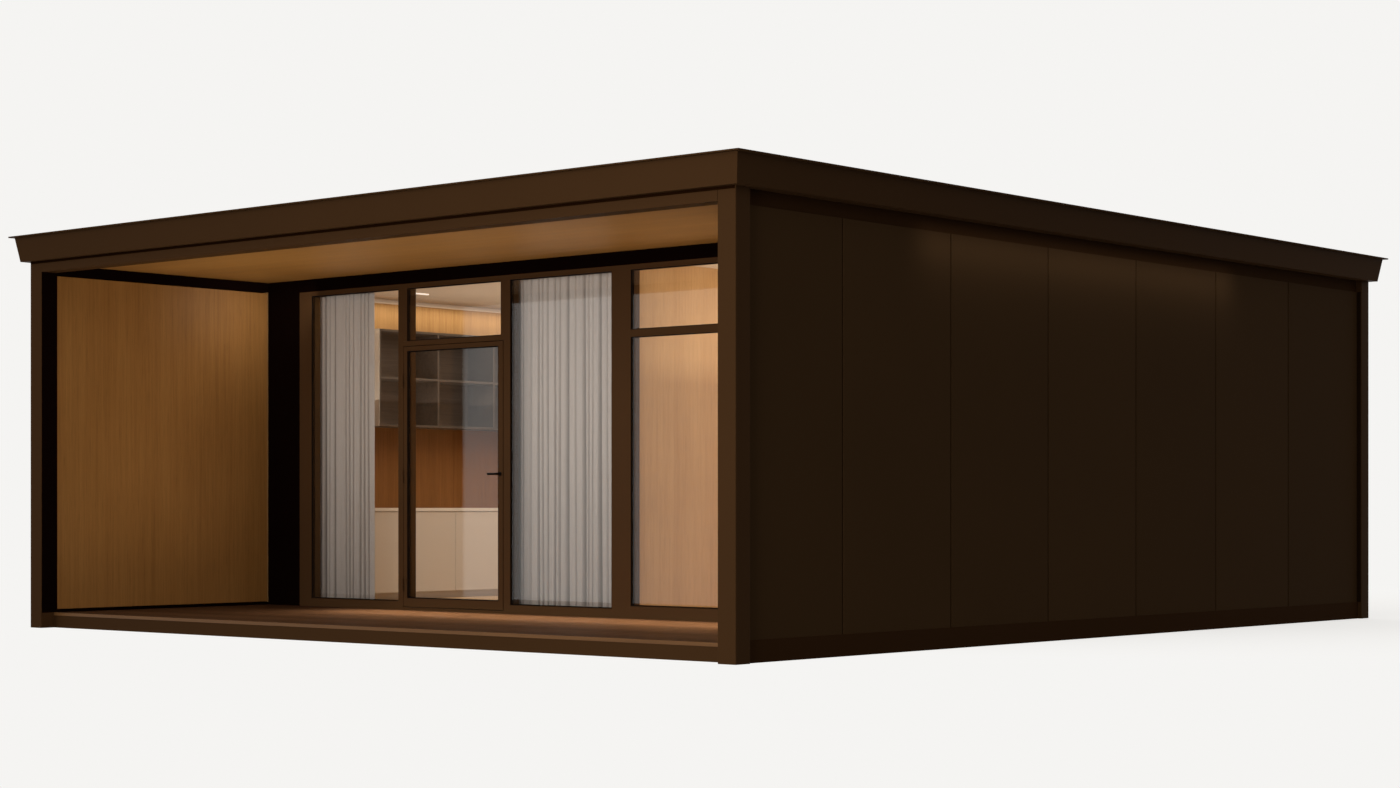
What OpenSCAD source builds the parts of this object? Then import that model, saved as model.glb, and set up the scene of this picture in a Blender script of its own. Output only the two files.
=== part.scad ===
// Flat-roofed capsule house: a steel frame with clad side walls, a deep covered porch across the
// front, a row of full-height glazing with a hinged glass door, and a kitchen along the left wall.
// Origin: middle of the footprint at ground level. +X is right along the front, +Y runs to the rear.

/* [Overall] */
// Width over the corner posts
house_w = 7300; // [6600:10:8000]
// Depth over the corner posts
house_d = 8500; // [7800:10:9400]
// Height of the underside of the cornice, which is the top of the posts
eave_z = 2900; // [2850:5:3100]
// Clear depth of the porch, from the front of the posts to the glazing
porch_d = 2290; // [1800:10:2600]

/* [Frame] */
// Width of a corner post along the front
post_w = 145; // [120:1:180]
// Depth of a corner post along the side
post_d = 140; // [120:1:180]
// Radius of the rolled edges of a post
post_r = 6; // [2:1:12]
// Height of the base rails under the clad walls
rail_h = 142; // [136:1:170]
// How far the base rails stand proud of the cladding
rail_proud = 6; // [2:1:15]
// Setback of the front base beam from the front of the posts
front_beam_setback = 124; // [80:1:160]
// Thickness of the front base beam
front_beam_t = 116; // [80:1:140]
// Height of the top beams over the clad walls
top_beam_h = 100; // [60:1:120]
// Setback of the side and rear top beams from the cladding
top_beam_setback = 12; // [4:1:20]
// Height of the top beam across the front of the porch
front_top_beam_h = 85; // [60:1:110]

/* [Cornice] */
// Height of the cornice
cornice_h = 200; // [150:5:260]
// Overhang of its lower edge beyond the posts
cornice_low = 55; // [30:1:80]
// Overhang of its slanted face at the top
cornice_high = 87; // [82:1:110]
// Overhang of the thin lip along the top
lip_out = 122; // [115:1:150]
// Thickness of the lip
lip_t = 10; // [6:1:20]
// Thickness of the upstand behind the slanted face
upstand_t = 45; // [25:1:60]
// Height of the gutter floor above the eave
gutter_h = 90; // [40:1:110]

/* [Roof] */
// Thickness of the roof deck
roof_t = 120; // [80:1:140]
// Height of the standing seams
seam_h = 28; // [10:1:40]
// Width of the standing seams
seam_w = 24; // [12:1:40]
// Spacing of the standing seams
seam_pitch = 585; // [400:5:800]

/* [Floor] */
// Height of the porch deck and of the floor slab
deck_z = 120; // [110:1:130]
// Thickness of the deck boards over the front beam
deck_t = 24; // [18:1:35]
// Clearance of the floor slab above the ground
floor_clear = 20; // [10:1:40]
// Thickness of the pale strip along the front edge of the deck
edge_trim_t = 6; // [3:1:12]
// Thickness of the floor boards indoors
room_floor_t = 30; // [15:1:40]

/* [Walls] */
// Recess of the cladding behind the outer faces of the posts
clad_recess = 39; // [20:1:50]
// Thickness of the cladding sheets
clad_t = 20; // [12:1:25]
// Width of a cladding sheet
clad_pitch = 1200; // [900:10:1500]
// Distance of the first seam from the front of the posts
first_seam = 1115; // [900:5:1300]
// Width of the seams between sheets
seam_gap = 8; // [4:1:15]
// Bevel of the folded edges of a sheet
fold = 6; // [2:1:10]
// Gap in front of and behind the porch linings
lining_gap = 10; // [4:1:20]
// Gap over and under the porch linings
lining_edge = 5; // [3:1:12]
// Thickness of the porch ceiling boards
porch_ceiling_t = 20; // [12:1:30]
// Thickness of the ceiling indoors
room_ceiling_t = 80; // [60:1:100]
// Thickness of the partition indoors
partition_t = 120; // [80:1:160]
// Length of the partition behind the glazing
partition_l = 3960; // [2500:10:4400]

/* [Glazing] */
// Width of the dark piers beside the glazing
pier_w = 415; // [300:5:480]
// Width of the two jambs at the piers
jamb_w = 150; // [120:1:200]
// Width of the mullion at the partition
wide_mullion_w = 195; // [165:1:220]
// Width of the other mullions
mullion_w = 103; // [90:1:130]
// Width of the three bays of the left room
left_bay_w = 1082; // [950:2:1120]
// Depth of the glazing frame
glazing_d = 110; // [90:1:140]
// Thickness of the panes
glass_t = 24; // [12:1:30]
// Setback of the fixed panes from the face of the frame
glass_setback = 12; // [8:1:50]
// Depth by which the panes sit in the grooves of the frame
glass_bite = 10; // [6:1:14]
// Fall of the sills towards the porch
sill_fall = 6; // [3:1:20]
// Height of the header beam over the glazing
header_h = 125; // [110:1:150]
// Height of the head rail of the frame
head_h = 38; // [25:1:60]
// Height of the sills under the fixed panes
sill_h = 70; // [50:1:90]
// Height of the sill under the pane beside the partition
tall_sill_h = 95; // [70:1:120]
// Height of the transom bars above the porch deck
transom_z = 2146; // [2050:1:2200]
// Height of the transom bar over the door
transom_h = 40; // [30:1:60]
// Height by which the other transom bar reaches lower
side_transom_drop = 34; // [10:1:50]

/* [Door] */
// Height of the threshold above the deck
threshold_h = 20; // [12:1:25]
// Gap round the door leaf
door_gap = 5; // [5:1:8]
// Extra gap at the closing edge, where the leaf swings past the frame
swing_gap = 3; // [2:1:6]
// Width by which the hinge stile covers the mullion beside it
hinge_rebate = 43; // [30:1:50]
// Width by which the closing stile covers the mullion beside it
close_rebate = 31; // [24:1:40]
// Thickness of the door leaf
leaf_t = 55; // [45:1:70]
// Depth by which the stops behind the leaf reach into the doorway
stop_w = 16; // [13:1:18]
// Width of the hinge stile
hinge_stile = 40; // [35:1:60]
// Width of the closing stile
close_stile = 50; // [50:1:75]
// Distance of the lever's spindle from the closing edge
lever_backset = 30; // [29:1:32]
// Height of the top rail
leaf_top_rail = 36; // [30:1:60]
// Height of the bottom rail
leaf_bottom_rail = 69; // [60:1:110]
// Setback of the door's pane from its face
door_glass_setback = 10; // [6:1:20]
// Height of the lever above the deck
lever_z = 1096; // [950:1:1150]
// Reach of the lever
lever_l = 105; // [90:1:135]
// Radius of the lever bar
lever_r = 9; // [7:0.5:11]
// Distance of the lever bar from the face of the leaf
lever_stand = 40; // [36:1:55]
// Radius of the roses
rose_r = 16; // [14:0.5:17]
// Thickness of the roses
rose_t = 8; // [5:1:12]
// Radius of the hinge knuckles
knuckle_r = 9; // [8:0.5:12]
// Radius of the hinge pins
pin_r = 4; // [3:0.5:5]
// Height of each half of a hinge
knuckle_h = 50; // [35:1:70]
// Height of the lowest hinge above the bottom of the leaf
hinge_low = 180; // [120:5:300]
// Distance of the highest hinge from the top of the leaf
hinge_high = 280; // [120:5:320]
// Width of a hinge flap
flap_w = 34; // [25:1:38]
// Thickness of a hinge flap
flap_t = 3; // [2:0.5:4]

/* [Curtains] */
// Width of the left curtain as it hangs
left_curtain_w = 734; // [500:2:900]
// Width by which each curtain hangs behind the frame on its left
curtain_lap = 100; // [60:1:120]
// Depth of the folds
curtain_t = 70; // [50:1:90]
// Distance of the curtain track behind the glazing frame
track_back = 35; // [20:1:60]
// Height of the curtain track
track_h = 20; // [12:1:30]
// Width of the curtain track
track_w = 40; // [30:1:60]
// Width of the slot along the underside of the track
track_slot = 12; // [8:1:16]
// Thickness of the walls of the track
track_wall = 4; // [2:0.5:5]
// Gap at the two ends of the track
track_end = 5; // [2:1:10]
// Height of the curtain hems above the floor
hem_clear = 12; // [5:1:40]

/* [Kitchen] */
// Distance of the kitchen behind the glazing frame
kitchen_back = 346; // [300:2:500]
// Width of one cupboard
cupboard_w = 600; // [450:10:700]
// Number of cupboards
cupboard_n = 5; // [3:1:6]
// Depth of the cupboards without their fronts
cupboard_d = 580; // [500:5:650]
// Thickness of the cupboard fronts
front_t = 20; // [14:1:25]
// Gap between the cupboard fronts
front_gap = 4; // [3:1:8]
// Height of the plinth
plinth_h = 62; // [50:1:100]
// Setback of the plinth
plinth_setback = 50; // [30:1:80]
// Height of the worktop's surface above the floor
worktop_z = 799; // [750:1:920]
// Thickness of the worktop
worktop_t = 28; // [20:1:50]
// Overhang of the worktop beyond the fronts
worktop_over = 8; // [5:1:30]
// Thickness of the splashback
splash_t = 12; // [8:1:18]
// Height of the shelf unit's underside above the floor
shelf_z = 1520; // [1400:5:1650]
// Height of one shelf space, with its board
shelf_pitch = 418; // [350:2:450]
// Number of rows of shelf spaces
shelf_rows = 2; // [1:1:2]
// Width of one shelf space, with its upright
shelf_bay = 700; // [600:10:800]
// Number of shelf spaces in a row
shelf_n = 3; // [2:1:3]
// Distance of the shelf unit behind the first cupboard's side
shelf_start = 514; // [0:2:600]
// Depth of the shelf boards
shelf_d = 335; // [250:5:380]
// Thickness of the shelf boards and uprights
shelf_t = 20; // [15:1:30]
// Thickness of the shelf unit's back
shelf_back_t = 15; // [8:1:20]

/* [Hidden] */
$fn = 48;

// How far a cut runs past the faces that it opens
cut_over = 1;

// Faces of the frame, measured from the middle of the footprint
half_w = house_w / 2;
half_d = house_d / 2;
in_x = half_w - post_w;
in_y = half_d - post_d;
clad_x = half_w - clad_recess;
clad_y = half_d - clad_recess;
wall_x = clad_x - clad_t;
wall_y = clad_y - clad_t;
beam_z = eave_z - top_beam_h;

// Glazing: its planes, the left edge of each bay and the width of the two bays of the right room
face_y = porch_d - half_d;
back_y = face_y + glazing_d;
glaze_x = in_x - pier_w;
header_z = eave_z - header_h;
head_z = header_z - head_h;
bay_x1 = -glaze_x + jamb_w;
bay_x2 = bay_x1 + left_bay_w + mullion_w;
bay_x3 = bay_x2 + left_bay_w + mullion_w;
bay_x4 = bay_x3 + left_bay_w + wide_mullion_w;
right_bay_w = (glaze_x - jamb_w - mullion_w - bay_x4) / 2;
bay_x5 = bay_x4 + right_bay_w + mullion_w;
partition_x = bay_x4 - wide_mullion_w / 2;
bar_z = deck_z + transom_z;

// Doorway between the mullions, the leaf, its hinge axis and its lever
door_x0 = bay_x2 - hinge_rebate;
door_x1 = bay_x2 + left_bay_w + close_rebate;
leaf_x0 = door_x0 + door_gap;
leaf_x1 = door_x1 - door_gap - swing_gap;
leaf_z0 = deck_z + threshold_h + door_gap;
leaf_z1 = bar_z - door_gap;
stop_y = face_y + leaf_t + door_gap;
stop_joint = 0.5;
knuckle_clear = 1;
pin_clear = 0.05;
knuckle_gap = 0.3;
hinge_x = door_x0 + door_gap / 2;
hinge_y = face_y - knuckle_r - knuckle_clear;
hinge_heights = [leaf_z0 + hinge_low, (leaf_z0 + leaf_z1) / 2, leaf_z1 - hinge_high];
lever_x = leaf_x1 - lever_backset;
lever_height = deck_z + lever_z;

// Rooms
room_z = deck_z + room_floor_t;
ceiling_z = eave_z - room_ceiling_t;
track_y = back_y + track_back;
hang_clear = 0.3;

// Kitchen along the left wall
kitchen_y = back_y + kitchen_back;
kitchen_l = cupboard_w * cupboard_n;
front_x = -in_x + cupboard_d;
plinth_z = room_z + plinth_h;
top_z = room_z + worktop_z;
under_top_z = top_z - worktop_t;
shelf_low = room_z + shelf_z;
shelf_y = kitchen_y + shelf_start;
shelf_l = shelf_bay * shelf_n + shelf_t;
shelf_x = -in_x + shelf_back_t;

bronze = [0.20, 0.14, 0.09];
dark_bronze = [0.09, 0.06, 0.04];
oak = [0.52, 0.36, 0.19];
deck_brown = [0.40, 0.26, 0.16];
cream = [0.86, 0.82, 0.76];
black = [0.08, 0.07, 0.06];
clear_glass = [0.75, 0.82, 0.84, 0.35];
dark_board = [0.27, 0.22, 0.18];

// A box from its lowest and its highest corner
module box(low, high) {
    translate(low) cube(high - low);
}

// The same shape on the left and on the right
module both_sides() {
    children();
    mirror([1, 0, 0]) children();
}

// An upright bar with rolled edges, from a lowest corner
module rolled_bar(w, d, h, r) {
    linear_extrude(h) {
        translate([r, 0]) square([w - 2 * r, d]);
        translate([0, r]) square([w, d - 2 * r]);
        for (x = [r, w - r], y = [r, d - r]) translate([x, y]) circle(r);
    }
}

module corner_posts() {
    color(bronze) both_sides() for (y = [-half_d, in_y])
        translate([in_x, y, 0]) rolled_bar(post_w, post_d, eave_z, post_r);
}

module end_base_beams() {
    front_y = front_beam_setback - half_d;
    color(bronze) {
        box([-in_x, front_y, 0], [in_x, front_y + front_beam_t, deck_z - deck_t]);
        box([-in_x, in_y, 0], [in_x, clad_y + rail_proud, rail_h]);
    }
}

module side_base_rails() {
    color(bronze) both_sides() box([in_x, -in_y, 0], [clad_x + rail_proud, in_y, rail_h]);
}

module end_top_beams() {
    color(bronze) {
        box([-in_x, -half_d, eave_z - front_top_beam_h], [in_x, -in_y, eave_z]);
        box([-in_x, in_y, beam_z], [in_x, clad_y - top_beam_setback, eave_z]);
    }
}

module side_top_beams() {
    color(dark_bronze) both_sides()
        box([in_x, -in_y, beam_z], [clad_x - top_beam_setback, in_y, eave_z]);
}

module glazing_header() {
    color(dark_bronze) box([-in_x, face_y, header_z], [in_x, back_y, eave_z]);
}

// One mitred run of the cornice along X: a slanted fascia with a thin lip, and a gutter behind it.
// Section points are outward from the post face and up.
module cornice_run(run, span) {
    top = eave_z + cornice_h;
    gutter_z = eave_z + gutter_h;
    slant = (cornice_high - cornice_low) / (cornice_h - lip_t);
    section = [[-post_w, eave_z], [cornice_low, eave_z], [cornice_high, top - lip_t],
        [lip_out, top - lip_t], [lip_out, top], [cornice_high - upstand_t, top],
        [cornice_low + slant * gutter_h - upstand_t, gutter_z], [-post_w, gutter_z]];
    outer = run / 2 + lip_out;
    inner = run / 2 - post_w;
    intersection() {
        translate([-outer, 0, 0]) rotate([90, 0, 90]) linear_extrude(2 * outer)
            polygon([for (p = section) [-span - p[0], p[1]]]);
        linear_extrude(top + lip_t) polygon([[-outer, -span - lip_out], [outer, -span - lip_out],
            [inner, post_w - span], [-inner, post_w - span]]);
    }
}

module end_cornices() {
    color(bronze) for (turn = [0, 180]) rotate(turn) cornice_run(house_w, half_d);
}

module side_cornices() {
    color(bronze) for (turn = [90, 270]) rotate(turn) cornice_run(house_d, half_w);
}

module roof_deck() {
    edge_y = half_d - post_w;
    seams = floor((in_x - seam_w) / seam_pitch);
    color([0.30, 0.28, 0.26]) union() {
        box([-in_x, -edge_y, eave_z], [in_x, edge_y, eave_z + roof_t]);
        for (i = [-seams:seams]) translate([i * seam_pitch, 0, 0])
            box([-seam_w / 2, -edge_y, eave_z], [seam_w / 2, edge_y, eave_z + roof_t + seam_h]);
    }
}

module floor_slab() {
    color([0.35, 0.33, 0.30]) box([-in_x, face_y, floor_clear], [in_x, in_y, deck_z]);
}

module room_floor() {
    color(oak) box([-in_x, back_y, deck_z], [in_x, in_y, room_z]);
}

module porch_deck() {
    front_y = front_beam_setback - half_d;
    color(deck_brown) union() {
        box([-in_x, front_y, deck_z - deck_t], [in_x, face_y, deck_z]);
        box([-in_x, front_y + front_beam_t, floor_clear], [in_x, face_y, deck_z]);
    }
}

module deck_edge_trim() {
    front_y = front_beam_setback - half_d;
    color([0.66, 0.46, 0.27])
        box([-in_x, front_y - edge_trim_t, deck_z - deck_t], [in_x, front_y, deck_z]);
}

// One cladding sheet, from the left corner of its inner face: its upright edges are folded back
module clad_sheet(w) {
    flat = clad_t - fold;
    translate([0, 0, rail_h]) linear_extrude(beam_z - rail_h)
        polygon([[0, 0], [w, 0], [w, flat], [w - fold, clad_t], [fold, clad_t], [0, flat]]);
}

// Cladding sheets between seams, along Y on the right wall
module side_cladding() {
    last = floor((house_d - post_d - clad_pitch / 2 - first_seam) / clad_pitch);
    seams = [for (i = [0:last]) first_seam + i * clad_pitch - half_d];
    starts = concat([-in_y], [for (s = seams) s + seam_gap / 2]);
    ends = concat([for (s = seams) s - seam_gap / 2], [in_y]);
    color(bronze) for (i = [0:last + 1])
        translate([wall_x, ends[i], 0]) rotate(-90) clad_sheet(ends[i] - starts[i]);
}

module left_wall_cladding() {
    mirror([1, 0, 0]) side_cladding();
}

module right_wall_cladding() {
    side_cladding();
}

module rear_wall_cladding() {
    count = 2 * ceil(in_x / clad_pitch);
    color(bronze) for (i = [0:count - 1]) {
        left = max((i - count / 2) * clad_pitch + seam_gap / 2, -in_x);
        right = min((i + 1 - count / 2) * clad_pitch - seam_gap / 2, in_x);
        translate([left, wall_y, 0]) clad_sheet(right - left);
    }
}

module side_lining() {
    color(oak) box([in_x, lining_gap - in_y, rail_h + lining_edge],
        [wall_x, face_y - lining_gap, beam_z - 2 * lining_edge]);
}

module left_porch_lining() {
    mirror([1, 0, 0]) side_lining();
}

module right_porch_lining() {
    side_lining();
}

module side_room_wall() {
    color(oak) box([in_x, face_y, rail_h], [wall_x, in_y, beam_z]);
}

module left_room_wall() {
    mirror([1, 0, 0]) side_room_wall();
}

module right_room_wall() {
    side_room_wall();
}

module rear_room_wall() {
    color(oak) box([-in_x, in_y, rail_h], [in_x, wall_y, beam_z]);
}

module porch_ceiling() {
    color(oak) box([-in_x, -in_y, eave_z - porch_ceiling_t], [in_x, face_y, eave_z]);
}

module room_ceiling() {
    color(cream) box([-in_x, back_y, ceiling_z], [in_x, in_y, eave_z]);
}

module partition_wall() {
    color(oak) box([partition_x - partition_t / 2, back_y, room_z],
        [partition_x + partition_t / 2, back_y + partition_l, ceiling_z]);
}

module glazing_piers() {
    color(dark_bronze) both_sides() box([glaze_x, face_y, deck_z], [in_x, back_y, header_z]);
}

// One pane from the daylight size of its opening, reaching into the grooves all round
module pane(x, w, low, high) {
    box([x - glass_bite, face_y + glass_setback, low - glass_bite],
        [x + w + glass_bite, face_y + glass_setback + glass_t, high + glass_bite]);
}

// All the fixed panes, which also cut the grooves that hold them
module panes() {
    for (x = [bay_x1, bay_x3]) pane(x, left_bay_w, deck_z + sill_h, head_z);
    pane(bay_x2, left_bay_w, bar_z + transom_h, head_z);
    pane(bay_x4, right_bay_w, deck_z + tall_sill_h, bar_z - side_transom_drop);
    pane(bay_x4, right_bay_w, bar_z + transom_h / 2, head_z);
    pane(bay_x5, right_bay_w, deck_z + sill_h, head_z);
}

module window_glass() {
    color(clear_glass) panes();
}

module glazing_head() {
    color(bronze) difference() {
        box([-glaze_x, face_y, head_z], [glaze_x, back_y, header_z]);
        panes();
    }
}

module mullion(x0, x1) {
    box([x0, face_y, deck_z], [x1, back_y, head_z]);
}

module glazing_mullions() {
    color(bronze) difference() {
        union() {
            mullion(-glaze_x, bay_x1);
            mullion(bay_x2 - mullion_w, door_x0);
            mullion(door_x1, bay_x3);
            mullion(bay_x4 - wide_mullion_w, bay_x4);
            mullion(bay_x5 - mullion_w, bay_x5);
            mullion(glaze_x - jamb_w, glaze_x);
        }
        panes();
    }
}

// One sill along X, with its top falling towards the porch in front of the pane
module sill(x, w, h) {
    top = deck_z + h;
    glass_y = face_y + glass_setback;
    translate([x, 0, 0]) rotate([90, 0, 90]) linear_extrude(w)
        polygon([[face_y, deck_z], [back_y, deck_z], [back_y, top], [glass_y, top],
            [face_y, top - sill_fall]]);
}

// Sills under the panes, and the threshold of the doorway
module glazing_sills() {
    color(bronze) difference() {
        union() {
            for (x = [bay_x1, bay_x3]) sill(x, left_bay_w, sill_h);
            sill(bay_x4, right_bay_w, tall_sill_h);
            sill(bay_x5, right_bay_w, sill_h);
            box([door_x0, face_y, deck_z], [door_x1, back_y, deck_z + threshold_h]);
        }
        panes();
    }
}

// Bars under the upper panes, over the door and beside the partition, and the two uprights that
// fill the frame over the door out to the line of the bay
module transom_bars() {
    color(bronze) difference() {
        union() {
            box([door_x0, face_y, bar_z], [door_x1, back_y, bar_z + transom_h]);
            for (x = [[door_x0, bay_x2], [bay_x2 + left_bay_w, door_x1]])
                box([x[0], face_y, bar_z + transom_h + stop_joint], [x[1], back_y, head_z]);
            box([bay_x4, face_y, bar_z - side_transom_drop],
                [bay_x4 + right_bay_w, back_y, bar_z + transom_h / 2]);
        }
        panes();
    }
}

// Stop bars round the doorway behind the leaf, butted at the corners; the one behind the hinge stile
// comes out to the line of the bay
module door_stops() {
    sill_z = deck_z + threshold_h;
    color(bronze) {
        box([door_x0, stop_y, bar_z - stop_w], [door_x1, back_y, bar_z]);
        box([door_x0, stop_y, sill_z], [door_x1, back_y, sill_z + stop_w]);
        for (x = [[door_x0, bay_x2], [door_x1 - stop_w, door_x1]])
            box([x[0], stop_y, sill_z + stop_w + stop_joint],
                [x[1], back_y, bar_z - stop_w - stop_joint]);
    }
}

// The door's daylight opening, grown by a margin on its four sides, between two depths
module door_opening(margin, front, rear) {
    box([leaf_x0 + hinge_stile - margin, face_y + front, leaf_z0 + leaf_bottom_rail - margin],
        [leaf_x1 - close_stile + margin, face_y + rear, leaf_z1 - leaf_top_rail + margin]);
}

module door_leaf() {
    color(bronze) difference() {
        box([leaf_x0, face_y, leaf_z0], [leaf_x1, face_y + leaf_t, leaf_z1]);
        door_opening(0, -cut_over, leaf_t + cut_over);
        door_glass();
        translate([lever_x, face_y - cut_over, lever_height]) rotate([-90, 0, 0])
            cylinder(r = lever_r + pin_clear, h = leaf_t + 2 * cut_over);
    }
}

module door_glass() {
    color(clear_glass)
        door_opening(glass_bite, door_glass_setback, door_glass_setback + glass_t);
}

module rose() {
    difference() {
        cylinder(r = rose_r, h = rose_t);
        translate([0, 0, -cut_over])
            cylinder(r = lever_r + pin_clear, h = rose_t + 2 * cut_over);
    }
}

module door_roses() {
    color(black) {
        translate([lever_x, face_y - rose_t, lever_height]) rotate([-90, 0, 0]) rose();
        translate([lever_x, face_y + leaf_t, lever_height]) rotate([-90, 0, 0]) rose();
    }
}

// The spindle with a lever at each end, both pointing to the hinge side
module door_lever() {
    spindle_l = leaf_t + 2 * lever_stand;
    color(black) translate([lever_x, face_y - lever_stand, lever_height]) {
        rotate([-90, 0, 0]) cylinder(r = lever_r, h = spindle_l);
        for (y = [0, spindle_l]) translate([0, y, 0]) {
            sphere(lever_r);
            rotate([0, -90, 0]) cylinder(r = lever_r, h = lever_l - lever_r);
            translate([lever_r - lever_l, 0, 0]) sphere(lever_r);
        }
    }
}

// Upper half of a hinge, on the leaf: a flap with a bored knuckle
module leaf_hinge() {
    difference() {
        union() {
            translate([0, hinge_y, 0]) cylinder(r = knuckle_r, h = knuckle_h);
            translate([0, face_y - flap_t, 0]) cube([flap_w, flap_t, knuckle_h]);
        }
        translate([0, hinge_y, -cut_over])
            cylinder(r = pin_r + pin_clear, h = knuckle_h + 2 * cut_over);
    }
}

module door_hinges() {
    color(black) for (z = hinge_heights) translate([hinge_x, 0, z + knuckle_gap]) leaf_hinge();
}

// Lower halves of the hinges, on the mullion: a flap with a knuckle that carries the pin
module hinge_pins() {
    color(black) for (z = hinge_heights) translate([hinge_x, 0, z - knuckle_h]) {
        translate([0, hinge_y, 0]) cylinder(r = knuckle_r, h = knuckle_h);
        translate([0, hinge_y, 0]) cylinder(r = pin_r, h = 2 * knuckle_h);
        translate([-flap_w, face_y - flap_t, 0]) cube([flap_w, flap_t, knuckle_h]);
    }
}

// Rail over the curtains, a channel that is open along its underside for the gliders
module curtain_track() {
    middle_y = track_y + curtain_t / 2;
    inner = track_w / 2 - track_wall;
    under = ceiling_z - track_h;
    start = track_end - in_x;
    stop = partition_x - partition_t / 2 - track_end;
    color(cream) translate([start, middle_y, 0]) rotate([90, 0, 90])
        linear_extrude(stop - start) difference() {
            translate([-track_w / 2, under]) square([track_w, track_h]);
            translate([-inner, under + track_wall]) square([2 * inner, track_h - 2 * track_wall]);
            translate([-track_slot / 2, under - cut_over]) square([track_slot, track_wall + 2 * cut_over]);
        }
}

module curtain(x, w) {
    color([0.70, 0.66, 0.62]) box([x, track_y, room_z + hem_clear],
        [x + w, track_y + curtain_t, ceiling_z - track_h - hang_clear]);
}

module left_curtain() {
    curtain(bay_x1 - curtain_lap, left_curtain_w);
}

module middle_curtain() {
    curtain(bay_x3 - curtain_lap, left_bay_w + curtain_lap);
}

// Cupboard bodies in one run, with the plinth set back under them
module kitchen_cupboards() {
    plinth_x = front_x - plinth_setback;
    color(cream) translate([0, kitchen_y + kitchen_l, 0]) rotate([90, 0, 0])
        linear_extrude(kitchen_l) polygon([[-in_x, room_z], [plinth_x, room_z],
            [plinth_x, plinth_z], [front_x, plinth_z], [front_x, under_top_z], [-in_x, under_top_z]]);
}

module cupboard_fronts() {
    color(cream) for (i = [0:cupboard_n - 1]) translate([front_x, kitchen_y + i * cupboard_w, 0])
        box([0, front_gap / 2, plinth_z],
            [front_t, cupboard_w - front_gap / 2, under_top_z - front_gap]);
}

module kitchen_worktop() {
    color([0.90, 0.88, 0.84]) box([-in_x, kitchen_y, under_top_z],
        [front_x + front_t + worktop_over, kitchen_y + kitchen_l, top_z]);
}

module kitchen_splashback() {
    color(oak) box([-in_x, kitchen_y, top_z], [splash_t - in_x, kitchen_y + kitchen_l, shelf_low]);
}

module shelf_boards() {
    color(dark_board) for (row = [0:shelf_rows])
        translate([0, 0, shelf_low + row * shelf_pitch])
            box([shelf_x, shelf_y, 0], [shelf_x + shelf_d, shelf_y + shelf_l, shelf_t]);
}

module shelf_uprights() {
    color(dark_board) for (row = [0:shelf_rows - 1], bay = [0:shelf_n])
        translate([0, shelf_y + bay * shelf_bay, shelf_low + row * shelf_pitch])
            box([shelf_x, 0, shelf_t], [shelf_x + shelf_d, shelf_t, shelf_pitch]);
}

module shelf_back() {
    color(dark_board) box([-in_x, shelf_y, shelf_low],
        [shelf_x, shelf_y + shelf_l, shelf_low + shelf_rows * shelf_pitch + shelf_t]);
}

corner_posts();
end_base_beams();
side_base_rails();
end_top_beams();
side_top_beams();
glazing_header();
end_cornices();
side_cornices();
roof_deck();
floor_slab();
room_floor();
porch_deck();
deck_edge_trim();
left_wall_cladding();
right_wall_cladding();
rear_wall_cladding();
left_porch_lining();
right_porch_lining();
left_room_wall();
right_room_wall();
rear_room_wall();
porch_ceiling();
room_ceiling();
partition_wall();
glazing_piers();
glazing_head();
glazing_mullions();
glazing_sills();
transom_bars();
window_glass();
door_stops();
door_leaf();
door_glass();
door_roses();
door_lever();
door_hinges();
hinge_pins();
curtain_track();
left_curtain();
middle_curtain();
kitchen_cupboards();
cupboard_fronts();
kitchen_worktop();
kitchen_splashback();
shelf_boards();
shelf_uprights();
shelf_back();
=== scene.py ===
"""Looks of a flat-roofed capsule house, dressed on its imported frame.

Lengths are metres in the frame of the part: +X runs right along the front, +Y from the porch to the
rear wall, +Z up, with the origin in the middle of the footprint at ground level.
"""

import logging
import math
from collections.abc import Callable, Iterator, Sequence
from contextlib import contextmanager
from dataclasses import dataclass
from enum import Enum

import bmesh
import bpy
from mathutils import Matrix, Vector


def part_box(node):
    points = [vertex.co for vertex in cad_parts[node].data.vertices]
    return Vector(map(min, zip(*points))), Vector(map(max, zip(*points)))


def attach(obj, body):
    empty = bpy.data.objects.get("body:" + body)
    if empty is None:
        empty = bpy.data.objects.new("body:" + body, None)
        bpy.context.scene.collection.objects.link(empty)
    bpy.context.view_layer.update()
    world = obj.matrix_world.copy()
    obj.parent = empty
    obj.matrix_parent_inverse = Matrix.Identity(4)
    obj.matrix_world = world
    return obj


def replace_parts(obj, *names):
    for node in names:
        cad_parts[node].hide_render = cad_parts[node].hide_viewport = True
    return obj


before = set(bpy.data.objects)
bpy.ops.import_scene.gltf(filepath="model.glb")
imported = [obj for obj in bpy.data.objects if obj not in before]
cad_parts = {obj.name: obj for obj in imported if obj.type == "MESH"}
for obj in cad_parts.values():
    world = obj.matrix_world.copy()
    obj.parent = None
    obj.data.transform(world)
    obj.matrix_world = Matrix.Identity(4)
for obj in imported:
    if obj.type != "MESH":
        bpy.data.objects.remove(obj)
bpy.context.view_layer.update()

LOG = logging.getLogger("capsule_house")
# Mesh attribute of painted shade: how deep a point of a curtain lies in its folds, which darkens the
# cloth there.
PAINTED_FOLD_SHADE = "painted_fold_shade"

Pair = tuple[float, float]
Triple = tuple[float, float, float]
Colour = tuple[float, float, float]
Socket = bpy.types.NodeSocket
Piece = bpy.types.Object


class Body(Enum):
    """Bodies of the part that a new piece can ride on."""

    HOUSE = "house"
    DOOR = "door"


class Grain(Enum):
    """Direction of the wood grain, as the stretch of the pattern along X, Y and Z."""

    ALONG_X = (0.02, 1.0, 1.0)
    ALONG_Y = (1.0, 0.02, 1.0)
    ALONG_Z = (1.0, 1.0, 0.02)


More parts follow.
